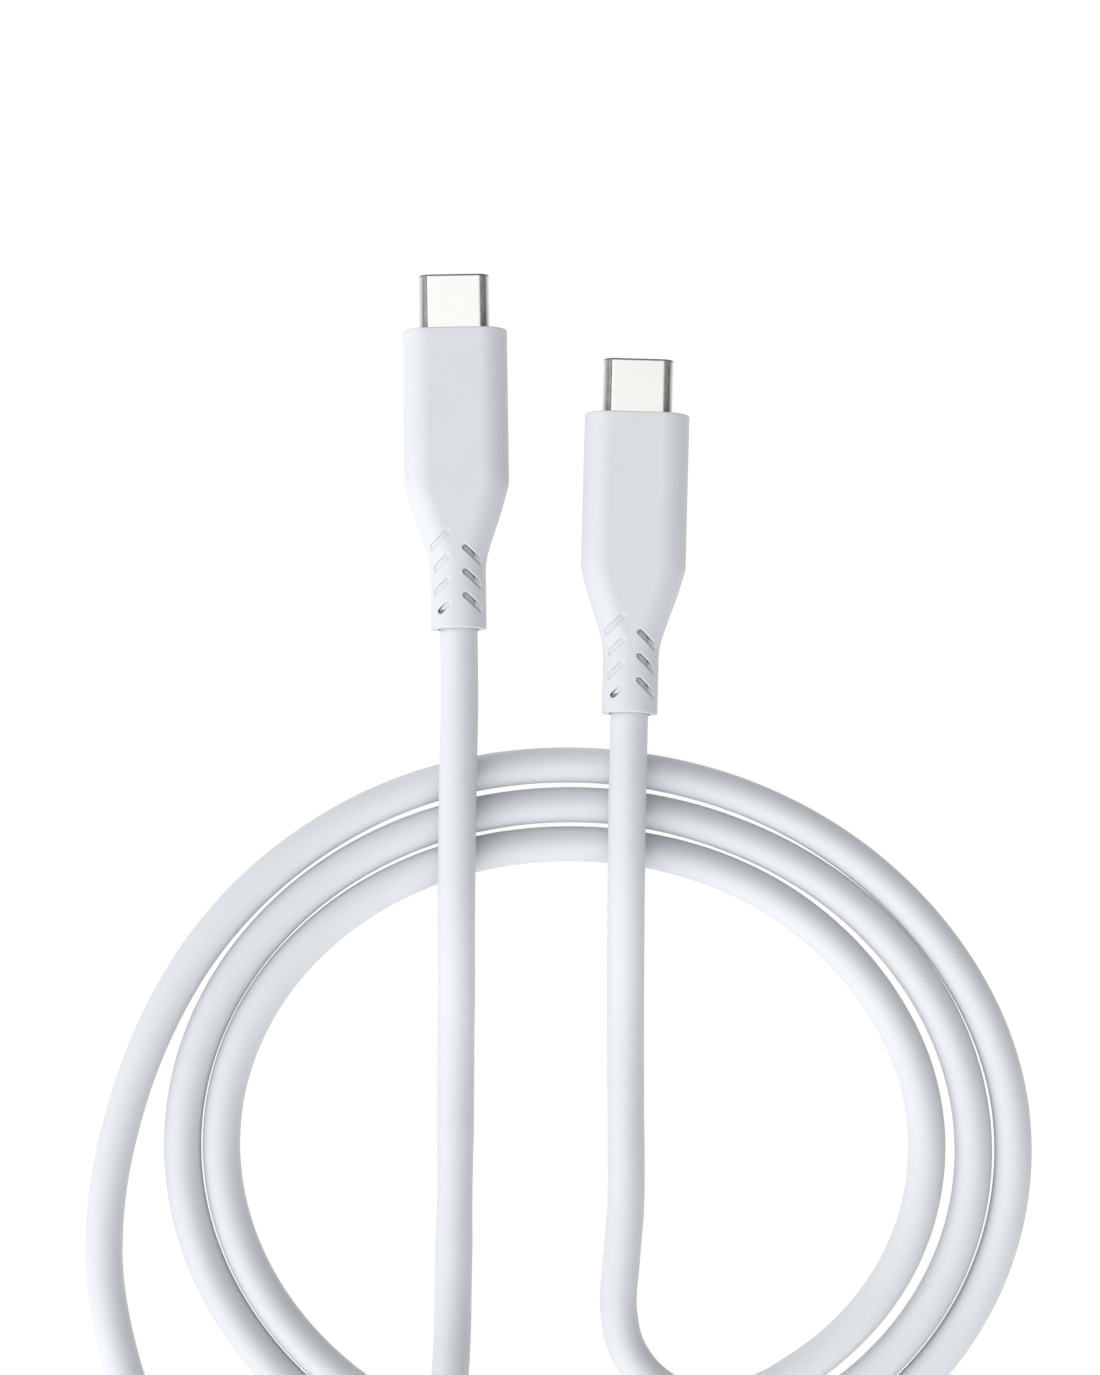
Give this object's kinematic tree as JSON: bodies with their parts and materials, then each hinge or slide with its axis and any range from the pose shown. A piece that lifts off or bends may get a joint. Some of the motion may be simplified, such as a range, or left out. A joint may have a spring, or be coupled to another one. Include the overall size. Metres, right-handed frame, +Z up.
{
  "type": "charging cable",
  "caption": "White USB-C charging cable with a moulded plug on each end, slotted strain reliefs and a round cord lying in a flat oval coil.",
  "frame": {"origin": "on the surface that the cable lies on, under the middle of the box around the two plugs", "axes": "+Y forwards, the way both plugs point; +Z up from the surface; +X to the right plug"},
  "size_m": [0.1117, 0.1552, 0.0095],
  "materials": {
    "white_elastomer": "fine matt moulded thermoplastic elastomer, cool white",
    "polyethylene": "natural translucent white, as moulded",
    "shell_steel": "bright nickel plating on drawn stainless steel",
    "spring_steel": "stamped spring steel",
    "tinplate": "dull tinned sheet",
    "copper_braid": "tinned copper braid",
    "black_insulator": "glass-filled liquid-crystal polymer",
    "gold_plating": "gold over nickel on copper alloy",
    "circuit_board": "green solder mask on glass epoxy",
    "ceramic": "tan ceramic with tinned ends",
    "chip_resin": "black moulding resin, unmarked",
    "red_insulation": "extruded wire insulation",
    "black_insulation": "extruded wire insulation",
    "blue_insulation": "extruded wire insulation",
    "green_insulation": "extruded wire insulation",
    "white_insulation": "extruded wire insulation"
  },
  "bodies": {
    "cord": {"cord_coil": "white_elastomer", "cord_lead_left": "white_elastomer", "cord_lead_right": "white_elastomer"},
    "left_plug": {"left_overmold": "white_elastomer", "left_inner_mold": "polyethylene", "left_plug_shell": "shell_steel", "left_insulator": "black_insulator", "left_mid_plate": "spring_steel", "left_grounding_spring_upper": "spring_steel", "left_grounding_spring_lower": "spring_steel", "left_contacts_upper": "gold_plating", "left_contacts_lower": "gold_plating", "left_circuit_board": "circuit_board", "left_marker_chip": "chip_resin", "left_bypass_capacitor": "ceramic", "left_shield_can_upper": "tinplate", "left_shield_can_lower": "tinplate", "left_crimp_ferrule": "tinplate", "left_shield_braid": "copper_braid", "left_cord_end": "white_elastomer", "left_wire_vbus": "red_insulation", "left_wire_ground": "black_insulation", "left_wire_cc": "blue_insulation", "left_wire_data_plus": "green_insulation", "left_wire_data_minus": "white_insulation"},
    "left_latch_west": {"left_latch_west": "spring_steel"},
    "left_latch_east": {"left_latch_east": "spring_steel"},
    "right_plug": {"right_overmold": "white_elastomer", "right_inner_mold": "polyethylene", "right_plug_shell": "shell_steel", "right_insulator": "black_insulator", "right_mid_plate": "spring_steel", "right_grounding_spring_upper": "spring_steel", "right_grounding_spring_lower": "spring_steel", "right_contacts_upper": "gold_plating", "right_contacts_lower": "gold_plating", "right_circuit_board": "circuit_board", "right_bypass_capacitor": "ceramic", "right_shield_can_upper": "tinplate", "right_shield_can_lower": "tinplate", "right_crimp_ferrule": "tinplate", "right_shield_braid": "copper_braid", "right_cord_end": "white_elastomer", "right_wire_vbus": "red_insulation", "right_wire_ground": "black_insulation", "right_wire_cc": "blue_insulation", "right_wire_data_plus": "green_insulation", "right_wire_data_minus": "white_insulation"},
    "right_latch_west": {"right_latch_west": "spring_steel"},
    "right_latch_east": {"right_latch_east": "spring_steel"}
  },
  "joints": [
    {"name": "left_plug_flex", "type": "hinge", "parent": "cord", "child": "left_plug", "pos_m": [-0.0102, -0.0159, 0.00567], "axis": [0, 0, 1], "range_deg": [-6, 20], "stiffness_Nm_per_rad": 0.01},
    {"name": "right_plug_flex", "type": "hinge", "parent": "cord", "child": "right_plug", "pos_m": [0.0098, -0.0258, 0.00628], "axis": [0, 0, 1], "range_deg": [-20, 6], "stiffness_Nm_per_rad": 0.01},
    {"name": "left_latch_west_flex", "type": "hinge", "parent": "left_plug", "child": "left_latch_west", "pos_m": [-0.01424, 0.01565, 0.00335], "axis": [-0.0012, 0.0732, 0.9973], "range_deg": [0, 1.2], "stiffness_Nm_per_rad": 0.05},
    {"name": "left_latch_east_flex", "type": "hinge", "parent": "left_plug", "child": "left_latch_east", "pos_m": [-0.00718, 0.01577, 0.00335], "axis": [-0.0012, 0.0732, 0.9973], "range_deg": [-1.2, 0], "stiffness_Nm_per_rad": 0.05},
    {"name": "right_latch_west_flex", "type": "hinge", "parent": "right_plug", "child": "right_latch_west", "pos_m": [0.00716, 0.00586, 0.00341], "axis": [0.0026, 0.0906, 0.9959], "range_deg": [0, 1.2], "stiffness_Nm_per_rad": 0.05},
    {"name": "right_latch_east_flex", "type": "hinge", "parent": "right_plug", "child": "right_latch_east", "pos_m": [0.01422, 0.00566, 0.00341], "axis": [0.0026, 0.0906, 0.9959], "range_deg": [-1.2, 0], "stiffness_Nm_per_rad": 0.05}
  ]
}
